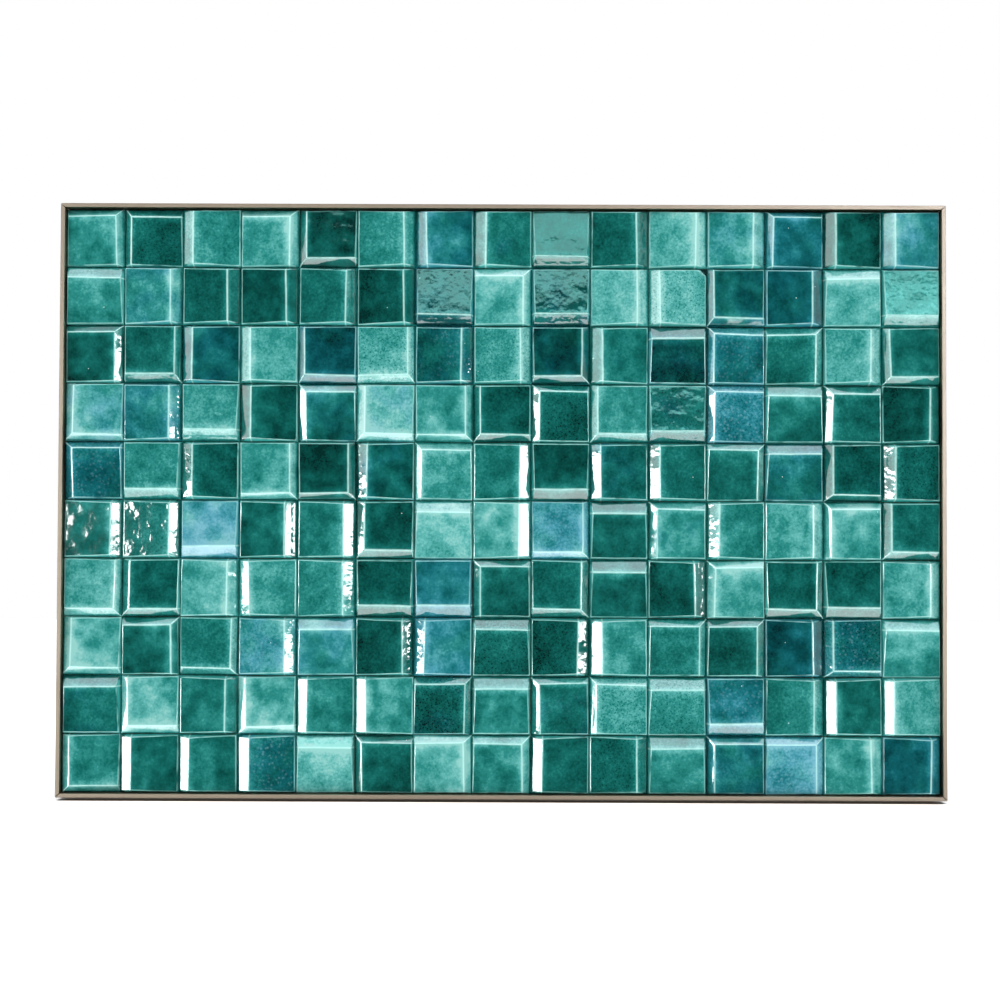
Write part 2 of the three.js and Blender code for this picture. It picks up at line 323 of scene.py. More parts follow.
class MosaicStage(bpy.types.PropertyGroup):
    """Floor, lights and camera"""

    floor_gap: length("Floor gap", "Clear height between the frame and the floor", 0.0028)
    floor_reach: length("Floor's reach", "How far the floor reaches each way", 6.0)
    floor_colour: colour("Floor", "The floor's colour", (0.85, 0.85, 0.84))
    # Painted shadow: the floor is coloured darker under and just behind the panel, for the shade in the gap
    # under the frame; these set its colour, its ends and its fade.
    shadow: colour("Contact shadow", "The floor's colour right under the frame", (0.78, 0.70, 0.62))
    shadow_inset: length("Shadow's inset", "Distance of the shadow's ends from the frame's", 0.0022)
    shadow_edge: length("Shadow's edge", "Softness of the shadow's edges", 0.008)
    shadow_back: length("Shadow's back", "How far behind the panel the shadow is full", 0.03)
    shadow_fade: length("Shadow's fade", "Distance over which it then fades", 0.03)
    room_light: share("Room light", "Brightness of the room on matt surfaces", 0.24)
    room_shine: share("Room shine", "Brightness of the room in reflections", 0.04)
    camera_place: FloatVectorProperty(
        name="Camera place",
        description="Where the camera stands",
        default=(0.0047, -1.8225, -0.0567),
        size=3,
        subtype="TRANSLATION",
    )
    camera_turn: FloatVectorProperty(
        name="Camera turn",
        description="How the camera is turned",
        default=(math.radians(91.819), math.radians(-0.215), math.radians(0.197)),
        size=3,
        subtype="EULER",
    )
    camera_lens: FloatProperty(
        name="Lens", description="Focal length in millimetres", default=75.779, unit="CAMERA"
    )


class Value:
    """One output of a node. Sums on it are written as plain expressions, and add the Math nodes."""

    def __init__(self, graph, socket):
        self.graph = graph
        self.socket = socket

    def other(self, name):
        """Another output of the same node."""
        return Value(self.graph, self.socket.node.outputs[name])

    def __add__(self, other):
        return self.graph.math("ADD", self, other)

    def __radd__(self, other):
        return self.graph.math("ADD", other, self)

    def __sub__(self, other):
        return self.graph.math("SUBTRACT", self, other)

    def __rsub__(self, other):
        return self.graph.math("SUBTRACT", other, self)

    def __mul__(self, other):
        return self.graph.math("MULTIPLY", self, other)

    def __truediv__(self, other):
        return self.graph.math("DIVIDE", self, other)

    def __rtruediv__(self, other):
        return self.graph.math("DIVIDE", other, self)


class Graph:
    """Adds nodes to one node tree."""

    def __init__(self, tree):
        self.tree = tree

    def node(self, kind, settings=None, inputs=None, output=0):
        """Adds a node: its settings first, then a value or a link for each named socket."""
        node = self.tree.nodes.new(kind)
        node.location.x = 200 * len(self.tree.nodes)
        for name, value in (settings or {}).items():
            if name == "stops":
                set_stops(node.color_ramp, value)
            else:
                setattr(node, name, value)
        for name, value in (inputs or {}).items():
            if isinstance(value, Value):
                self.tree.links.new(value.socket, node.inputs[name])
            else:
                node.inputs[name].default_value = value
        return Value(self, node.outputs[output]) if node.outputs else node

    def math(self, operation, *numbers, clamp=False):
        """A sum on numbers, of which at least one is a link."""
        settings = {"operation": operation, "use_clamp": clamp}
        return self.node("ShaderNodeMath", settings, dict(enumerate(numbers)))

    def vector_math(self, operation, *vectors, output="Vector", **sockets):
        """A sum on vectors."""
        inputs = {**dict(enumerate(vectors)), **sockets}
        return self.node("ShaderNodeVectorMath", {"operation": operation}, inputs, output)

    def clamp(self, number):
        """The number held between 0 and 1."""
        return self.math("ADD", number, 0.0, clamp=True)

    def ease(self, number, low, high):
        """0 below low, 1 above high, and a smooth rise between."""
        inputs = {"Value": number, "From Min": low, "From Max": high}
        return self.node("ShaderNodeMapRange", {"interpolation_type": "SMOOTHSTEP"}, inputs)

    def closeness(self, number, width):
        """1 where the number is nothing, falling to 0 at the width on either side."""
        return self.math("SUBTRACT", 1.0, self.math("ABSOLUTE", number) / width, clamp=True)

    def mix(self, factor, first, second, blend="MIX"):
        """Two colours mixed."""
        settings = {"data_type": "RGBA", "blend_type": blend}
        node = self.node("ShaderNodeMix", settings, {"Factor": factor}).socket.node
        for name, value in (("A", first), ("B", second)):
            socket = next(s for s in node.inputs if s.name == name and s.type == "RGBA")
            if isinstance(value, Value):
                self.tree.links.new(value.socket, socket)
            else:
                socket.default_value = opaque(value)
        return Value(self, next(s for s in node.outputs if s.type == "RGBA"))

    def noise(self, place, size, detail=2.0, roughness=0.5, output=0, **sockets):
        """Smooth noise whose features are about as long as size."""
        inputs = {"Vector": place, "Scale": 1 / size, "Detail": detail, "Roughness": roughness, **sockets}
        return self.node("ShaderNodeTexNoise", {}, inputs, output)

    def swing(self, place, size, **settings):
        """The same noise, as a swing to either side of nothing."""
        return self.noise(place, size, **settings) - NOISE_MIDDLE

    def cells(self, place, size):
        """Distance to the nearest of points that lie scattered, about a size apart."""
        return self.node("ShaderNodeTexVoronoi", {}, {"Vector": place, "Scale": 1 / size}, "Distance")

    def here(self):
        """A place in the object's own frame, in a material."""
        return self.node("ShaderNodeTexCoord", {}, {}, "Object")

    def stretched(self, place, scale):
        """A place scaled along each axis."""
        return self.node("ShaderNodeMapping", {}, {"Vector": place, "Scale": scale})

    def attribute(self, name, output="Fac"):
        """An attribute of the surface, in a material."""
        return self.node("ShaderNodeAttribute", {"attribute_name": name}, {}, output)


def between(ends, factor):
    """A number that goes from the first end to the second as the factor goes from 0 to 1."""
    return ends[0] + factor * (ends[1] - ends[0])


def opaque(rgb):
    """A colour with full alpha."""
    return (*rgb, 1.0)


def set_stops(ramp, stops):
    """Gives a colour ramp these stops, as pairs of a position and a colour."""
    while len(ramp.elements) < len(stops):
        ramp.elements.new(1.0)
    for element, (position, rgb) in zip(ramp.elements, stops):
        element.position = position
        element.color = opaque(rgb)


def new_material(name, **constants):
    """A material, its graph and its Principled shader with constants set on the shader's own sockets."""
    material = bpy.data.materials.new(name)
    material.use_nodes = True
    shader = next(n for n in material.node_tree.nodes if n.type == "BSDF_PRINCIPLED")
    for socket, value in constants.items():
        shader.inputs[socket.replace("_", " ")].default_value = value
    return material, Graph(material.node_tree), shader


def connect(graph, value, shader, socket):
    """Links a value to a socket of the shader."""
    graph.tree.links.new(value.socket, shader.inputs[socket])


def add_bump(graph, shader, height, distance):
    """Raises the surface by a pattern."""
    bump = graph.node("ShaderNodeBump", {}, {"Height": height, "Distance": distance, "Strength": 1.0})
    connect(graph, bump, shader, "Normal")


def add_object(name, mesh, material=None):
    """A new object at the origin with this mesh."""
    piece = bpy.data.objects.new(name, mesh)
    bpy.context.scene.collection.objects.link(piece)
    if material:
        piece.data.materials.clear()
        piece.data.materials.append(material)
    return piece


def hand_in(piece, node):
    """Puts the piece on its body and hides the CAD part that it stands for."""
    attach(piece, BODY)
    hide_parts(node)


def stray(seed, tile, trait):
    """A repeatable number from -1 to 1 for one trait of one tile."""
    modulus = 67108859
    tile_step = 7919
    trait_step = 104729
    rounds = 4
    state = (seed + tile_step * (tile + 1) + trait_step * (trait + 1)) % modulus
    for _ in range(rounds):
        state = (state * state + seed) % modulus
    return 2 * state / modulus - 1


def rising_plane(slope, point, height):
    """A plane over a tile: its slope across and up, and its height over the tile's centre."""
    return (slope[0], slope[1], height - slope[0] * point[0] - slope[1] * point[1])


def reach(side):
    """Half the tile's size towards one side."""
    return ROW_HEIGHT / 2 if side.x == 0 else TILE_PITCH / 2


def tile_planes(tiles, letters, tile):
    """The planes of a tile's face and of its one or two bevels, by the same rule as the solids."""
    double = len(letters) == 2
    width = tiles.double_bevel_width if double else tiles.single_bevel_width
    ridge = tiles.double_ridge_height if double else tiles.single_ridge_height
    edge = tiles.double_edge_height if double else tiles.single_edge_height
    fall = tiles.double_face_fall if double else tiles.single_face_fall
    ridge += tiles.height_stray * stray(tiles.seed, tile, HEIGHT)
    fall += tiles.fall_stray * stray(tiles.seed, tile, FALL)
    tilt = tiles.tilt_stray * stray(tiles.seed, tile, TILT)
    drawn_in = (edge - tiles.foot_height) * math.tan(tiles.wall_draft)

    # The face is highest at its ridges and falls away from them
    sides = [SIDES[letter] for letter in letters]
    widths = [width + tiles.width_stray * stray(tiles.seed, tile, WIDTH + i) for i in range(len(sides))]
    uphill = sum(sides, Vector((0, 0))).normalized()
    ridge_point = sum((side * (reach(side) - own) for side, own in zip(sides, widths)), Vector((0, 0)))
    slope = uphill * math.tan(fall) + uphill.orthogonal() * math.tan(tilt)
    face = rising_plane(slope, ridge_point, ridge)

    # Each bevel drops to its edge, a little askew, and falls along its ridge as the face does
    bevels = []
    for index, (side, own_width) in enumerate(zip(sides, widths)):
        skew = tiles.skew_stray * stray(tiles.seed, tile, SKEW + index)
        askew = side.copy()
        askew.rotate(Matrix.Rotation(skew, 2))
        along = askew.orthogonal()
        drop = (ridge - edge) / (own_width - drawn_in)
        bevels.append(rising_plane(along * slope.dot(along) - askew * drop, ridge_point, ridge))
    return face, bevels[0], bevels[-1]


def chip_plane(tiles):
    """The steep plane that cuts the chipped tile's upper right corner."""
    sides = (SIDES["R"], SIDES["T"])
    corner = sum((side * (reach(side) - tiles.chip_reach / 2) for side in sides), Vector((0, 0)))
    outward = sum(sides, Vector((0, 0))).normalized()
    return rising_plane(-outward / math.tan(tiles.wall_draft), corner, tiles.foot_height)


def graded_steps(low, high, bands):
    """Places from low to high, closer together inside each band of (from, to, step)."""
    places = [low]
    for start, end, step in bands:
        count = max(1, math.ceil((end - start - MERGE_DISTANCE) / step))
        places += [start + (end - start) * (i + 1) / count for i in range(count)]
    places[-1] = high
    return places


def mould_steps(tiles, half, bevel_width):
    """Where the mesh lines of a tile blank lie: fine along the rims and, if it has one, its ridge."""
    rim = half - tiles.rim_zone
    bands = [(-half, -rim, tiles.rim_step)]
    if bevel_width:
        ridge = half - bevel_width
        before, after = ridge - tiles.ridge_zone, ridge + tiles.ridge_zone
        bands.append((-rim, before, tiles.face_step))
        bands.append((before, after, tiles.ridge_step))
        bands.append((after, rim, tiles.face_step))
    else:
        bands.append((-rim, rim, tiles.face_step))
    bands.append((rim, half, tiles.rim_step))
    return graded_steps(-half, half, bands)


def tile_blank(name, across, up):
    """A closed flat box of no height yet, whose front is a grid; `front` marks what the mould lifts."""
    mesh = bpy.data.meshes.new(name)
    shape = bmesh.new()
    grid = [[shape.verts.new((x, 0, z)) for x in across] for z in up]
    for lower, upper in zip(grid, grid[1:]):
        for i in range(len(across) - 1):
            face = shape.faces.new((lower[i], lower[i + 1], upper[i + 1], upper[i]))
            face.smooth = True
    corners = [shape.verts.new((x, 0, z)) for x, z in (
        (across[0], up[0]), (across[-1], up[0]), (across[-1], up[-1]), (across[0], up[-1])
    )]
    edges = [grid[0], [row[-1] for row in grid], grid[-1][::-1], [row[0] for row in grid][::-1]]
    for index, edge in enumerate(edges):
        shape.faces.new([*edge[::-1], corners[index], corners[(index + 1) % len(corners)]])
    shape.faces.new(corners[::-1])
    shape.verts.ensure_lookup_table()
    shape.to_mesh(mesh)
    lifted = len(shape.verts) - len(corners)
    shape.free()
    front = mesh.attributes.new("front", "FLOAT", "POINT")
    front.data.foreach_set("value", [1.0 if i < lifted else 0.0 for i in range(len(mesh.vertices))])
    return bpy.data.objects.new(name, mesh)


def row_points(tiles, row):
    """One point for each tile of a row, carrying the planes that shape it and how it is glazed."""
    mesh = bpy.data.meshes.new("row points")
    letters = BEVEL_CHART[row].split()
    middle_up = ((ROWS - 1) / 2 - row) * TILE_PITCH
    places = [((i - (COLUMNS - 1) / 2) * TILE_PITCH, BOARD_FRONT, middle_up) for i in range(COLUMNS)]
    mesh.from_pydata(places, [], [])
    vectors = {"centre": places, "face": [], "bevel": [], "next_bevel": [], "chip": [], "offset": []}
    numbers = {"turns": [], "double": [], "askew": [], "tone": [], "blue": [], "speckle": []}
    for column, sides in enumerate(letters):
        tile = row * COLUMNS + column
        face, bevel, next_bevel = tile_planes(tiles, sides, tile)
        vectors["face"].append(face)
        vectors["bevel"].append(bevel)
        vectors["next_bevel"].append(next_bevel)
        chipped = (row + 1, column + 1) == (tiles.chipped_row, tiles.chipped_column)
        vectors["chip"].append(chip_plane(tiles) if chipped else (0, 0, OUT_OF_REACH))
        vectors["offset"].append([stray(tiles.seed, tile, OFFSET + axis) for axis in range(3)])
        numbers["turns"].append(QUARTER_TURNS[sides])
        numbers["double"].append(len(sides) - 1)
        numbers["askew"].append(math.tan(tiles.turn_stray) * stray(tiles.seed, tile, TURN))
        numbers["tone"].append(stray(tiles.tone_seed, tile, TONE))
        numbers["blue"].append(stray(tiles.blue_seed, tile, BLUE))
        numbers["speckle"].append(stray(tiles.seed, tile, SPECKLE))
    for name, values in vectors.items():
        attribute = mesh.attributes.new(name, "FLOAT_VECTOR", "POINT")
        attribute.data.foreach_set("vector", [number for value in values for number in value])
    for name, values in numbers.items():
        attribute = mesh.attributes.new(name, "FLOAT", "POINT")
        attribute.data.foreach_set("value", values)
    return mesh


TREE_SIZES = {
    "Foot height": "foot_height",
    "Wall draft": "wall_draft",
    "Joint": "joint",
    "Ridge rounding": "ridge_rounding",
    "Rim rounding": "rim_rounding",
    "Low edge's drop": "low_drop",
    "Low edge's rounding": "low_rounding",
    "Corner rounding": "corner_rounding",
    "Warp": "warp",
    "Warp size": "warp_size",
    "Ripple": "ripple",
    "Ripple size": "ripple_size",
}


class TileTree:
    """The node tree that lays a row's blanks on its points and presses each to its own planes."""

    def __init__(self):
        self.tree = bpy.data.node_groups.new("Pressed tiles", "GeometryNodeTree")
        self.graph = Graph(self.tree)
        self.add_socket("Geometry", "INPUT", "NodeSocketGeometry")
        self.add_socket("Geometry", "OUTPUT", "NodeSocketGeometry")
        self.add_socket("Single mould", "INPUT", "NodeSocketObject")
        self.add_socket("Double mould", "INPUT", "NodeSocketObject")
        self.add_socket("Glaze", "INPUT", "NodeSocketMaterial")
        for name in TREE_SIZES:
            self.add_socket(name, "INPUT", "NodeSocketFloat")
        self.given = self.graph.node("NodeGroupInput")
        self.build()

    def add_socket(self, name, direction, kind):
        """Adds a named input or output to the tree."""
        self.tree.interface.new_socket(name=name, in_out=direction, socket_type=kind)

    def identifiers(self):
        """The identifier of each named input."""
        return {
            item.name: item.identifier
            for item in self.tree.interface.items_tree
            if item.item_type == "SOCKET" and item.in_out == "INPUT"
        }

    def read(self, name, kind="FLOAT"):
        """A named attribute."""
        return self.graph.node("GeometryNodeInputNamedAttribute", {"data_type": kind}, {"Name": name})

    def keep(self, geometry, name, value):
        """Keeps a value with the surface, for the material to read."""
        settings = {"data_type": "FLOAT", "domain": "POINT"}
        inputs = {"Geometry": geometry, "Name": name, "Value": value}
        return self.graph.node("GeometryNodeStoreNamedAttribute", settings, inputs)

    def laid(self, mould, chosen):
        """The blank of one mould laid on the points that have it, turned by quarter turns."""
        graph = self.graph
        blank = graph.node("GeometryNodeObjectInfo", {}, {"Object": self.given.other(mould)}, "Geometry")
        turn = self.read("turns") * (math.pi / 2)
        euler = graph.node("ShaderNodeCombineXYZ", {}, {"Y": turn})
        rotation = graph.node("FunctionNodeEulerToRotation", {}, {"Euler": euler})
        inputs = {
            "Points": self.given.other("Geometry"),
            "Selection": chosen,
            "Instance": blank,
            "Rotation": rotation,
        }
        return graph.node("GeometryNodeInstanceOnPoints", {}, inputs, "Instances")

    def height_of(self, name, place):
        """How high a tile's named plane lies over a place."""
        return self.graph.vector_math("DOT_PRODUCT", self.read(name, "FLOAT_VECTOR"), place, output="Value")

    def lower(self, first, second, rounding):
        """The lower of two heights, rounded where they meet."""
        return self.graph.math("SMOOTH_MIN", first, second, rounding)

    def laid_tiles(self):
        """The blanks of both moulds, laid as one mesh."""
        graph = self.graph
        double = graph.math("GREATER_THAN", self.read("double"), 0.5)
        singles = self.laid("Single mould", 1 - double)
        doubles = self.laid("Double mould", double)
        join = graph.node("GeometryNodeJoinGeometry", {}, {"Geometry": singles})
        self.tree.links.new(doubles.socket, join.socket.node.inputs["Geometry"])
        return graph.node("GeometryNodeRealizeInstances", {}, {"Geometry": join})

    def warped(self, spot, seeded):
        """A place on the tile, wandered a little by the warp."""
        graph = self.graph
        scale = 1 / self.given.other("Warp size")
        wander = graph.noise(seeded, 1.0, detail=1.0, output="Color", Scale=scale)
        wander = graph.vector_math("SUBTRACT", wander, [NOISE_MIDDLE] * 3)
        wander = graph.vector_math("SCALE", wander, Scale=self.given.other("Warp"))
        return graph.vector_math("ADD", spot, wander)

    def walls(self, across, up):
        """The height of the drafted walls around a tile."""
        graph = self.graph
        foot = self.given.other("Foot height")
        steepness = graph.math("TANGENT", self.given.other("Wall draft"))
        half_across = TILE_PITCH / 2 - self.given.other("Joint") / 2
        side = foot + (half_across - graph.math("ABSOLUTE", across)) / steepness
        end = foot + (ROW_HEIGHT / 2 - graph.math("ABSOLUTE", up)) / steepness
        return self.lower(side, end, self.given.other("Corner rounding"))

    def build(self):
        """Lays, presses and marks the tiles."""
        graph = self.graph
        tiles = self.laid_tiles()
        centre = self.read("centre", "FLOAT_VECTOR")
        spot = graph.vector_math("SUBTRACT", graph.node("GeometryNodeInputPosition"), centre)
        seeded = graph.vector_math("ADD", spot, self.read("offset", "FLOAT_VECTOR"))

        # A place on the tile as (across, up, 1), turned a little with the tile
        parts = graph.node("ShaderNodeSeparateXYZ", {}, {"Vector": self.warped(spot, seeded)}, "X")
        askew = self.read("askew")
        across = parts + askew * parts.other("Z")
        up = parts.other("Z") - askew * parts
        place = graph.node("ShaderNodeCombineXYZ", {}, {"X": across, "Y": up, "Z": 1.0})

        # The face and its bevels, with slow ripples
        ripple = graph.swing(seeded, 1.0, detail=1.0, Scale=1 / self.given.other("Ripple size"))
        face = self.height_of("face", place)
        bevel = self.height_of("bevel", place)
        next_bevel = self.height_of("next_bevel", place)
        double = graph.math("GREATER_THAN", self.read("double"), 0.5)
        rounding = self.given.other("Ridge rounding")
        slopes = self.lower(bevel, next_bevel, rounding * double)
        top = self.lower(face, slopes, rounding) + ripple * self.given.other("Ripple")

        # The walls, and the chip where a tile has one
        whole_wall = self.walls(across, up)
        chip = self.height_of("chip", place)
        wall = self.lower(whole_wall, chip, rounding)

        # The rim between them is rounder along a bevel's low edge
        past_ridge = face - slopes
        drop = self.given.other("Low edge's drop")
        low_edge = graph.ease(past_ridge, drop, drop * LOW_EDGE_END)
        rounding = self.given.other("Rim rounding") + self.given.other("Low edge's rounding") * low_edge
        height = graph.math("MAXIMUM", self.lower(top, wall, rounding), self.given.other("Foot height") / 2)

        # The glaze goes by how far the surface is past its ridges and rims, and by the face's height
        kept = {
            "past_ridge": past_ridge,
            "past_mitre": graph.math("ABSOLUTE", bevel - next_bevel) + (1 - double),
            "past_rim": top - wall,
            "past_chip": graph.math("MINIMUM", whole_wall, top) - chip,
            "low_edge": low_edge,
            "face_height": face,
            "lift": height * self.read("front") * -1.0,
        }
        for name, value in kept.items():
            tiles = self.keep(tiles, name, value)
        lift = graph.node("ShaderNodeCombineXYZ", {}, {"Y": self.read("lift")})
        tiles = graph.node("GeometryNodeSetPosition", {}, {"Geometry": tiles, "Offset": lift})
        inputs = {"Geometry": tiles, "Material": self.given.other("Glaze")}
        tiles = graph.node("GeometryNodeSetMaterial", {}, inputs)
        self.graph.node("NodeGroupOutput", {}, {"Geometry": tiles})


class Glaze:
    """The nodes of the glaze, which go by what the pressing kept with the surface."""

    def __init__(self, graph, looks):
        self.graph = graph
        self.looks = looks
        self.own = graph.vector_math("ADD", graph.here(), graph.attribute("offset", "Vector"))
        self.speckle = graph.attribute("speckle") * 0.5 + 0.5
        self.past_ridge = graph.attribute("past_ridge")
        self.past_rim = graph.attribute("past_rim")
        self.low_edge = graph.attribute("low_edge")
        self.on_bevel = graph.ease(self.past_ridge, 0.0, looks.crest)
        down_wall = graph.ease(self.past_rim, 0.0, looks.wall_reach)
        self.on_wall = down_wall * (1 - self.low_edge * looks.low_wall_loss)
        rim = graph.closeness(self.past_rim, looks.rim) * (1 - self.low_edge)
        patches = graph.noise(self.own, looks.rim_patch_size, detail=1.0)
        self.rim = rim * graph.ease(patches, *BARE_RIM_RANGE)

    def flow(self):
        """How deep the glaze lies by itself: each tile's own depth, clouds, mottles and dark spots."""
        graph, looks = self.graph, self.looks
        clouds = graph.swing(self.own, looks.cloud_size, detail=3.0, roughness=0.55)
        clouds = clouds * between(CLOUD_STRENGTHS, self.speckle)
        mottles = graph.swing(self.own, looks.mottle_size, detail=3.0, roughness=0.6)
        mottles = mottles * between(MOTTLE_STRENGTHS, self.speckle)
        spots = graph.ease(graph.cells(self.own, looks.spot_size), *SPOT_RANGE)
        spots = spots * graph.ease(self.speckle, *SPOTTED_TILES)
        depth = looks.usual_depth + graph.attribute("tone") * looks.tone_spread
        depth = depth + clouds * looks.cloud + mottles * looks.mottle + spots * looks.spot
        return graph.math("SMOOTH_MIN", depth, looks.depth_limit, looks.depth_easing)

    def depth(self):
        """How deep it lies after it has run off ridges, rims and walls, and pooled at low places."""
        graph, looks = self.graph, self.looks
        pooled = graph.ease(graph.attribute("face_height"), looks.pool_top, looks.pool_foot)
        depth = self.flow() + pooled * looks.pooling
        beside_ridge = graph.ease(self.past_ridge, -looks.halo_reach, 0.0) * (1 - self.on_bevel)
        depth = depth - beside_ridge * looks.halo
        depth = depth - self.on_bevel * (depth * (1 - looks.bevel_share) + looks.bevel_loss)
        under_ridge = graph.ease(self.past_ridge, looks.bevel_halo, 0.0)
        depth = depth - self.on_bevel * under_ridge * looks.halo
        by_low_edge = self.low_edge * graph.ease(self.past_rim, -looks.edge_reach, 0.0)
        depth = depth + by_low_edge * looks.edge_pooling
        # The walls thin the glaze: real run-off, and also painted light against the joints' shade. Rims are
        # bared in patches.
        bared = graph.math("MAXIMUM", self.on_wall * (1 - looks.wall_share), self.rim * looks.rim_loss)
        return depth * (1 - bared)

    def shade(self, depth):
        """The colour that goes with a depth, the walls' colour that is partly painted light, and the painted
        shade in the chip.
        """
        graph, looks = self.graph, self.looks
        colours = (looks.thinnest, looks.thin, looks.light, looks.middle, looks.deep, looks.deepest)
        stops = [(i / (len(colours) - 1) / POOLED_DEPTH, shade) for i, shade in enumerate(colours)]
        stops.append((1.0, looks.pool))
        share_of_pool = graph.clamp(depth / POOLED_DEPTH)
        glaze = graph.node("ShaderNodeValToRGB", {"stops": stops}, {"Fac": share_of_pool})
        # Partly painted light: the walls take the paler wall colour, for thin glaze and to lift the shade in
        # the joints.
        glaze = graph.mix(self.on_wall * looks.wall_tint, glaze, looks.wall)
        # Painted shade: the chip darkens towards the chip colour with depth down its hollow.
        chip_painted_shade = graph.ease(graph.attribute("past_chip"), looks.chip_lip, looks.chip_hollow)
        return graph.mix(chip_painted_shade, glaze, looks.chip)

    def bloomed(self, glaze, depth):
        """Adds a bluer bloom, with small pale cells, on some tiles."""
        graph, looks = self.graph, self.looks
        bloom = graph.attribute("blue") + graph.swing(self.own, looks.bloom_size)
        bloom = graph.ease(bloom, *BLOOM_RANGE)
        glaze = graph.mix(bloom, glaze, looks.blue, "MULTIPLY")
        cells = graph.ease(graph.cells(self.own, looks.cell_size), *CELL_RANGE) * bloom
        cells = cells * graph.ease(self.speckle, *CELLED_TILES) * graph.ease(depth, *CELLED_DEPTHS)
        return graph.mix(cells * looks.cell_strength, glaze, looks.cell)

    def broken(self, glaze):
        """Adds the pale lines where the glaze breaks over ridges, mitres and rims."""
        graph, looks = self.graph, self.looks
        crest = graph.closeness(self.past_ridge, looks.crest)
        mitre = graph.closeness(graph.attribute("past_mitre"), looks.crest) * self.on_bevel
        line = graph.math("POWER", graph.math("MAXIMUM", crest, mitre), looks.crest_sharpness)
        line = graph.math("MAXIMUM", line, self.rim * looks.rim_paleness)
        strength = between(LINE_STRENGTHS, graph.noise(self.own, looks.line_size))
        return graph.mix(graph.clamp(line * strength), glaze, looks.broken)

    def pinholed(self, glaze):
        """Adds a few white pinholes."""
        graph, looks = self.graph, self.looks
        holes = graph.cells(self.own, looks.pinhole_size)
        chosen = graph.math("GREATER_THAN", holes.other("Color"), 1 - looks.pinhole_share)
        return graph.mix(graph.ease(holes, *PINHOLE_RANGE) * chosen, glaze, looks.pinhole)

    def peel(self):
        """The fine unevenness of the surface, strongest along low edges."""
        strength = between(PEEL_STRENGTHS, self.speckle) + self.low_edge * self.looks.low_edge_peel
        return self.graph.noise(self.own, self.looks.peel_size, detail=0.5) * strength


def glaze_material(looks):
    """Glossy copper glaze: pale where it thins, green at its usual depth, nearly black where it pools."""
    material, graph, shader = new_material(
        "Copper green glaze", Roughness=looks.roughness, IOR=looks.refraction
    )
    glaze = Glaze(graph, looks)
    depth = glaze.depth()
    shade = glaze.shade(depth)
    shade = glaze.bloomed(shade, depth)
    shade = glaze.broken(shade)
    shade = glaze.pinholed(shade)
    connect(graph, shade, shader, "Base Color")
    add_bump(graph, shader, glaze.peel(), looks.peel)
    return material


def metal_material(name, looks, grain):
    """Satin metal with a faint grain along the rail."""
    material, graph, shader = new_material(name, Metallic=1.0)
    here = graph.here()
    wear = graph.ease(graph.noise(here, looks.wear_size, detail=3.0), *WEAR_RANGE)
    worn = [channel * looks.worn for channel in looks.metal]
    connect(graph, graph.mix(wear * looks.wear, looks.metal, worn), shader, "Base Color")
    streaks = graph.noise(graph.stretched(here, grain), looks.grain_size, detail=3.0, roughness=0.6)
    roughness = looks.roughness + (streaks - NOISE_MIDDLE) * looks.roughness_spread
    connect(graph, roughness, shader, "Roughness")
    add_bump(graph, shader, streaks, looks.grain_height)
    return material


def board_material(looks):
    """Sanded plywood: long grain across the panel."""
    material, graph, shader = new_material("Sanded plywood")
    here = graph.stretched(graph.here(), (looks.grain_stretch, 1.0, 1.0))
    bends = graph.noise(here, looks.bend_size, detail=3.0)
    rings = graph.math("SINE", bends * looks.rings) * 0.5 + 0.5
    grain = graph.noise(here, looks.grain_size, detail=4.0, roughness=0.65, Distortion=0.6)
    pattern = graph.clamp(rings * looks.ring_strength + grain * looks.grain_strength)
    connect(graph, graph.mix(pattern, looks.early_wood, looks.late_wood), shader, "Base Color")
    connect(graph, looks.roughness + grain * looks.roughness_gain, shader, "Roughness")
    add_bump(graph, shader, grain, looks.grain_height)
    return material


class MOSAIC_OT_press_tiles(bpy.types.Operator):
    """Press and glaze the ten rows of tiles"""

    bl_idname = "mosaic.press_tiles"
    bl_label = "Press Tiles"

    def execute(self, context):
        tiles = context.scene.mosaic_tiles
        glaze = glaze_material(context.scene.mosaic_glaze)
        half_across, half_up = TILE_PITCH / 2 - tiles.joint / 2, ROW_HEIGHT / 2
        single = tile_blank(
            "single mould",
            mould_steps(tiles, half_across, tiles.single_bevel_width),
            mould_steps(tiles, half_up, 0),
        )
        double = tile_blank(
            "double mould",
            mould_steps(tiles, half_across, tiles.double_bevel_width),
            mould_steps(tiles, half_up, tiles.double_bevel_width),
        )
        tile_tree = TileTree()
        for row in range(ROWS):
            self.press_row(context, tile_tree, row, single, double, glaze)
        for blank in (single, double):
            bpy.data.objects.remove(blank)
        return {"FINISHED"}

    def press_row(self, context, tile_tree, row, single, double, glaze):
        """Makes one row of tiles as a plain mesh."""
        tiles = context.scene.mosaic_tiles
        source = add_object("row source", row_points(tiles, row))
        modifier = source.modifiers.new("Pressed tiles", "NODES")
        modifier.node_group = tile_tree.tree
        identifiers = tile_tree.identifiers()
        modifier[identifiers["Single mould"]] = single
        modifier[identifiers["Double mould"]] = double
        modifier[identifiers["Glaze"]] = glaze
        for socket, size in TREE_SIZES.items():
            modifier[identifiers[socket]] = getattr(tiles, size)
        depsgraph = context.evaluated_depsgraph_get()
        evaluated = source.evaluated_get(depsgraph)
        mesh = bpy.data.meshes.new_from_object(evaluated, preserve_all_data_layers=True, depsgraph=depsgraph)
        bpy.data.objects.remove(source)
        if not mesh.polygons:
            raise RuntimeError("the tile tree made no tiles")
        for name in TILE_ONLY:
            mesh.attributes.remove(mesh.attributes[name])
        piece = add_object(f"glazed_tiles_row_{row + 1}", mesh)
        hand_in(piece, f"tile_row_{row + 1}")


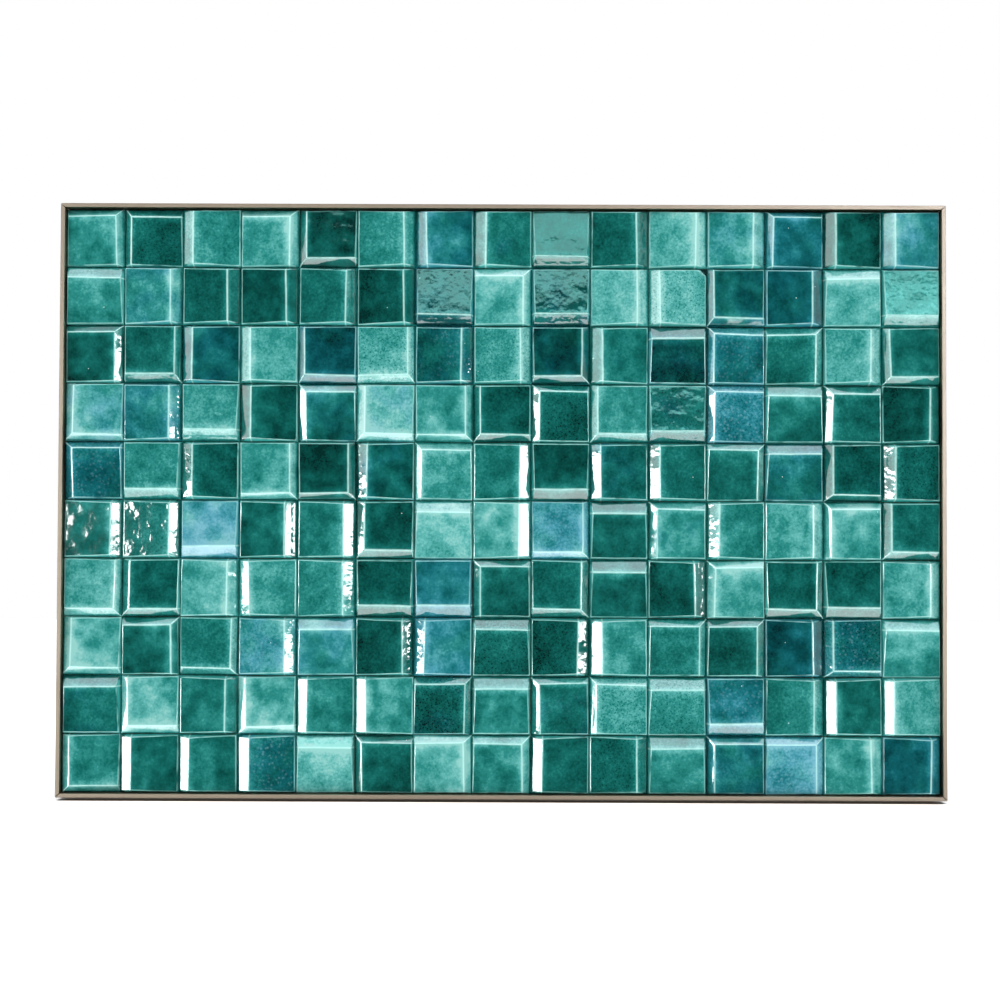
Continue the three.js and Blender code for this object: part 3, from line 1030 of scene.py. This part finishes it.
class MOSAIC_OT_finish_frame(bpy.types.Operator):
    """Round the frame's arrises and give it a satin finish"""

    bl_idname = "mosaic.finish_frame"
    bl_label = "Finish Frame"

    def execute(self, context):
        looks = context.scene.mosaic_frame
        level = metal_material("Satin metal, level rails", looks, (looks.grain_stretch, 1.0, 1.0))
        upright = metal_material("Satin metal, upright rails", looks, (1.0, 1.0, looks.grain_stretch))
        for side, metal in (("bottom", level), ("top", level), ("left", upright), ("right", upright)):
            self.finish_rail(side, metal, looks)
        return {"FINISHED"}

    def finish_rail(self, side, metal, looks):
        """A rail with rounded arrises, in place of the plain bar."""
        node = f"frame_{side}"
        shape = bmesh.new()
        shape.from_mesh(frame["nodes"][node].data)
        bmesh.ops.remove_doubles(shape, verts=shape.verts, dist=MERGE_DISTANCE)
        bmesh.ops.dissolve_limit(shape, angle_limit=FLAT_ANGLE, verts=shape.verts, edges=shape.edges)
        bmesh.ops.bevel(
            shape,
            geom=shape.edges[:],
            offset=looks.arris,
            segments=looks.arris_steps,
            profile=0.5,
            affect="EDGES",
            clamp_overlap=True,
        )
        for face in shape.faces:
            face.smooth = True
        mesh = bpy.data.meshes.new(f"{node}_bar")
        shape.to_mesh(mesh)
        shape.free()
        piece = add_object(f"{side}_rail", mesh, metal)
        modifier = piece.modifiers.new("Keep flats flat", "WEIGHTED_NORMAL")
        modifier.keep_sharp = True
        hand_in(piece, node)


class MOSAIC_OT_finish_board(bpy.types.Operator):
    """Give the backing board its plywood face"""

    bl_idname = "mosaic.finish_board"
    bl_label = "Finish Board"

    def execute(self, context):
        wood = board_material(context.scene.mosaic_board)
        board = frame["nodes"]["backing_board"]
        if not board.material_slots:
            board.data.materials.append(wood)
        for slot in board.material_slots:
            slot.material = wood
        return {"FINISHED"}


class MOSAIC_OT_set_stage(bpy.types.Operator):
    """Lay the floor, hang the lights and place the camera"""

    bl_idname = "mosaic.set_stage"
    bl_label = "Set Stage"

    def execute(self, context):
        stage = context.scene.mosaic_stage
        floor = self.lay_floor(stage)
        self.set_world(context.scene, stage)
        self.hang_glaze_cards()
        self.hang_rail_cards()
        self.hang_soft_lights()
        self.light_floor(floor)
        self.place_camera(context.scene, stage)
        context.scene.view_settings.view_transform = "Standard"
        return {"FINISHED"}

    def lay_floor(self, stage):
        """A wide, plain, pale floor just under the frame, with a painted contact shadow on it under the
        panel.
        """
        half = stage.floor_reach
        level = FRAME_LOW.z - stage.floor_gap
        mesh = bpy.data.meshes.new("floor")
        corners = [(-half, -half, level), (half, -half, level), (half, half, level), (-half, half, level)]
        mesh.from_pydata(corners, [], [(0, 1, 2, 3)])
        material, graph, shader = new_material("Pale floor", Roughness=0.9)
        parts = graph.node("ShaderNodeSeparateXYZ", {}, {"Vector": graph.here()}, "X")
        # Painted contact shadow: the floor's colour darkens under the panel, eased in at its ends, its front
        # and its back.
        half_width = FRAME_HIGH.x - stage.shadow_inset
        across = graph.ease(graph.math("ABSOLUTE", parts), half_width, half_width - stage.shadow_edge)
        front = FRAME_LOW.y - stage.shadow_edge
        forward = graph.ease(parts.other("Y"), front, FRAME_LOW.y)
        fade_end = stage.shadow_back + stage.shadow_fade
        backward = graph.ease(parts.other("Y"), fade_end, stage.shadow_back)
        shade = graph.mix(across * forward * backward, stage.floor_colour, stage.shadow)
        connect(graph, shade, shader, "Base Color")
        floor = add_object("floor", mesh, material)
        floor.visible_glossy = False
        return floor

    def set_world(self, scene, stage):
        """White to the camera, dim to everything else."""
        world = bpy.data.worlds.new("Studio")
        scene.world = world
        world.use_nodes = True
        graph = Graph(world.node_tree)
        background = next(n for n in world.node_tree.nodes if n.type == "BACKGROUND")
        seen = graph.node("ShaderNodeLightPath", {}, {}, "Is Camera Ray")
        dim = between((stage.room_light, stage.room_shine), seen.other("Is Glossy Ray"))
        strength = seen + (1 - seen) * dim
        graph.tree.links.new(strength.socket, background.inputs["Strength"])
        background.inputs["Color"].default_value = opaque(WHITE)

    def receivers(self, name, pieces):
        """A collection of the pieces that a light falls on."""
        lit = bpy.data.collections.new(name)
        for piece in pieces:
            lit.objects.link(piece)
        return lit

    def add_card(self, name, corners, radiance, lit, tint=WHITE):
        """A glowing card that only glossy surfaces see, and only those of the lit pieces."""
        mesh = bpy.data.meshes.new(name)
        mesh.from_pydata(corners, [], [(0, 1, 2, 3)])
        material = bpy.data.materials.new(name)
        material.use_nodes = True
        graph = Graph(material.node_tree)
        glow = graph.node("ShaderNodeEmission", {}, {"Strength": radiance, "Color": opaque(tint)})
        output = next(n for n in material.node_tree.nodes if n.type == "OUTPUT_MATERIAL")
        graph.tree.links.new(glow.socket, output.inputs["Surface"])
        card = add_object(name, mesh, material)
        card.visible_camera = False
        card.visible_diffuse = False
        card.visible_shadow = False
        card.light_linking.receiver_collection = lit

    def upright_card(self, name, x, y_range, z_range, radiance, lit):
        """A card that stands beside the panel, square to it."""
        (y0, y1), (z0, z1) = y_range, z_range
        self.add_card(name, [(x, y0, z0), (x, y1, z0), (x, y1, z1), (x, y0, z1)], radiance, lit)

    def flat_card(self, name, z, x_range, y_range, radiance, lit, tint=WHITE):
        """A card that lies above or below the panel."""
        (x0, x1), (y0, y1) = x_range, y_range
        self.add_card(name, [(x0, y0, z), (x1, y0, z), (x1, y1, z), (x0, y1, z)], radiance, lit, tint)

    def facing_card(self, name, y, x_range, z_range, radiance, lit, tint=WHITE):
        """A card that stands before or behind the panel, level with it."""
        (x0, x1), (z0, z1) = x_range, z_range
        self.add_card(name, [(x0, y, z0), (x1, y, z0), (x1, y, z1), (x0, y, z1)], radiance, lit, tint)

    def add_soft_light(self, name, place, width, height, watts):
        """A soft light for the matt part of what is seen, aimed at the panel's middle."""
        light = bpy.data.lights.new(name, "AREA")
        light.shape = "RECTANGLE"
        light.size = width
        light.size_y = height
        light.energy = watts
        lamp = bpy.data.objects.new(name, light)
        lamp.location = place
        lamp.rotation_euler = (-Vector(place)).to_track_quat("-Z", "Y").to_euler()
        lamp.visible_camera = False
        lamp.visible_glossy = False
        bpy.context.scene.collection.objects.link(lamp)

    def hang_glaze_cards(self):
        """What the glaze reflects: strips and walls beside the panel, and sheets over and under it."""
        left, right = -1.2, 1.2
        above, below = 1.0, -0.75
        sky = (0.80, 0.92, 1.0)
        sea = (0.38, 1.0, 0.95)
        rows = [bpy.data.objects[f"glazed_tiles_row_{row + 1}"] for row in range(ROWS)]
        tiles = self.receivers("lit tiles", rows)
        first_middle, first_low = 2, 7
        middle_rows = self.receivers("middle rows", rows[first_middle:first_low])
        low_rows = self.receivers("low rows", rows[first_low:])

        left_glow, right_glow = 30.0, 26.0
        left_depth, right_depth = (-1.12, -0.10), (-1.02, -0.50)
        self.upright_card("left strip", left, left_depth, (-0.14, 0.085), left_glow, middle_rows)
        self.upright_card("left front strip", left, (-1.56, -1.12), (-0.10, 0.085), left_glow, middle_rows)
        self.upright_card("left low strip", left, left_depth, (-0.48, -0.12), left_glow, low_rows)
        self.upright_card("right strip", right, right_depth, (-0.14, 0.11), right_glow, middle_rows)
        self.upright_card("right low strip", right, right_depth, (-0.20, -0.10), right_glow, low_rows)
        self.upright_card("left wall", left, (-1.4, -0.05), (0.11, 0.95), 4.0, tiles)
        self.upright_card("right wall", right, (-0.50, -0.05), (FRAME_LOW.z, 0.95), 1.0, tiles)

        width = (left, right)
        self.flat_card("top card", above, width, (-0.80, -0.03), 5.1, tiles, sky)
        self.flat_card("front of top card", above, width, (-1.72, -0.80), 4.6, tiles, sea)
        self.flat_card("first slat", above, width, (-2.05, -1.80), 5.6, tiles, sea)
        self.flat_card("second slat", above, width, (-2.155, -2.10), 5.6, tiles, sea)
        self.flat_card("low card", below, width, (-0.50, -0.02), 5.5, tiles)

    def hang_rail_cards(self):
        """What the rails reflect: a dim room with two cool windows."""
        rails = [bpy.data.objects[f"{side}_rail"] for side in ("bottom", "top", "left", "right")]
        rails = self.receivers("lit rails", rails)
        far, ceiling = 3.0, 2.5
        width, depth, height = (-far, far), (-1.8, far), (-1.5, ceiling)
        self.facing_card("room", -far, width, height, 0.50, rails)
        self.facing_card("back of the room", far, width, height, 0.60, rails)
        self.upright_card("left of the room", -far, depth, height, 0.60, rails)
        self.upright_card("right of the room", far, depth, height, 0.60, rails)
        self.flat_card("top of the room", ceiling, width, depth, 0.80, rails)
        window_gap = 0.05
        window = window_gap - far
        self.facing_card("right window", window, (0.75, 1.9), (-0.10, 1.5), 6.0, rails, (0.72, 0.80, 1.0))
        self.facing_card("left window", window, (-1.9, -0.95), (-0.50, 0.65), 4.5, rails, (0.76, 0.84, 1.0))

    def hang_soft_lights(self):
        """A key light over the panel and a fill on either side."""
        self.add_soft_light("key", (0.0, -1.6, 1.7), width=2.2, height=1.4, watts=30.0)
        self.add_soft_light("left fill", (-2.0, -1.4, 0.2), width=1.2, height=1.6, watts=9.0)
        self.add_soft_light("right fill", (2.0, -1.4, 0.2), width=1.2, height=1.6, watts=9.0)

    def light_floor(self, floor):
        """A wide sun that only the floor receives, so that it stays evenly white."""
        light = bpy.data.lights.new("floor light", "SUN")
        light.energy = 5.0
        light.angle = math.radians(60)
        lamp = bpy.data.objects.new("floor light", light)
        lamp.rotation_euler.x = math.radians(30)
        bpy.context.scene.collection.objects.link(lamp)
        lamp.light_linking.receiver_collection = self.receivers("lit floor", [floor])

    def place_camera(self, scene, stage):
        """The photograph's viewpoint, almost square on."""
        data = bpy.data.cameras.new("Camera")
        data.lens = stage.camera_lens
        camera = bpy.data.objects.new("Camera", data)
        camera.location = stage.camera_place
        camera.rotation_euler = stage.camera_turn
        scene.collection.objects.link(camera)
        scene.camera = camera


class MOSAIC_PT_panel(bpy.types.Panel):
    """The steps and sizes of the mosaic panel"""

    bl_label = "Mosaic Panel"
    bl_space_type = "VIEW_3D"
    bl_region_type = "UI"
    bl_category = "Mosaic"

    def draw(self, context):
        layout = self.layout
        steps = (
            (MOSAIC_OT_press_tiles, ("mosaic_tiles", "mosaic_glaze")),
            (MOSAIC_OT_finish_frame, ("mosaic_frame",)),
            (MOSAIC_OT_finish_board, ("mosaic_board",)),
            (MOSAIC_OT_set_stage, ("mosaic_stage",)),
        )
        for operator, groups in steps:
            box = layout.box()
            box.operator(operator.bl_idname)
            for group in groups:
                settings = getattr(context.scene, group)
                for name in settings.__annotations__:
                    box.prop(settings, name)


SETTINGS = {
    "mosaic_tiles": MosaicTiles,
    "mosaic_glaze": MosaicGlaze,
    "mosaic_frame": MosaicFrame,
    "mosaic_board": MosaicBoard,
    "mosaic_stage": MosaicStage,
}
CLASSES = (
    *SETTINGS.values(),
    MOSAIC_OT_press_tiles,
    MOSAIC_OT_finish_frame,
    MOSAIC_OT_finish_board,
    MOSAIC_OT_set_stage,
    MOSAIC_PT_panel,
)


def register():
    """Registers the classes and hangs the settings on the scene."""
    for cls in CLASSES:
        bpy.utils.register_class(cls)
    for name, group in SETTINGS.items():
        setattr(bpy.types.Scene, name, PointerProperty(type=group))


def unregister():
    """Takes away what register added."""
    for name in SETTINGS:
        delattr(bpy.types.Scene, name)
    for cls in reversed(CLASSES):
        bpy.utils.unregister_class(cls)


def main():
    """Builds the looks in order."""
    register()
    bpy.ops.mosaic.press_tiles()
    bpy.ops.mosaic.finish_frame()
    bpy.ops.mosaic.finish_board()
    bpy.ops.mosaic.set_stage()


if __name__ == "__main__":
    main()
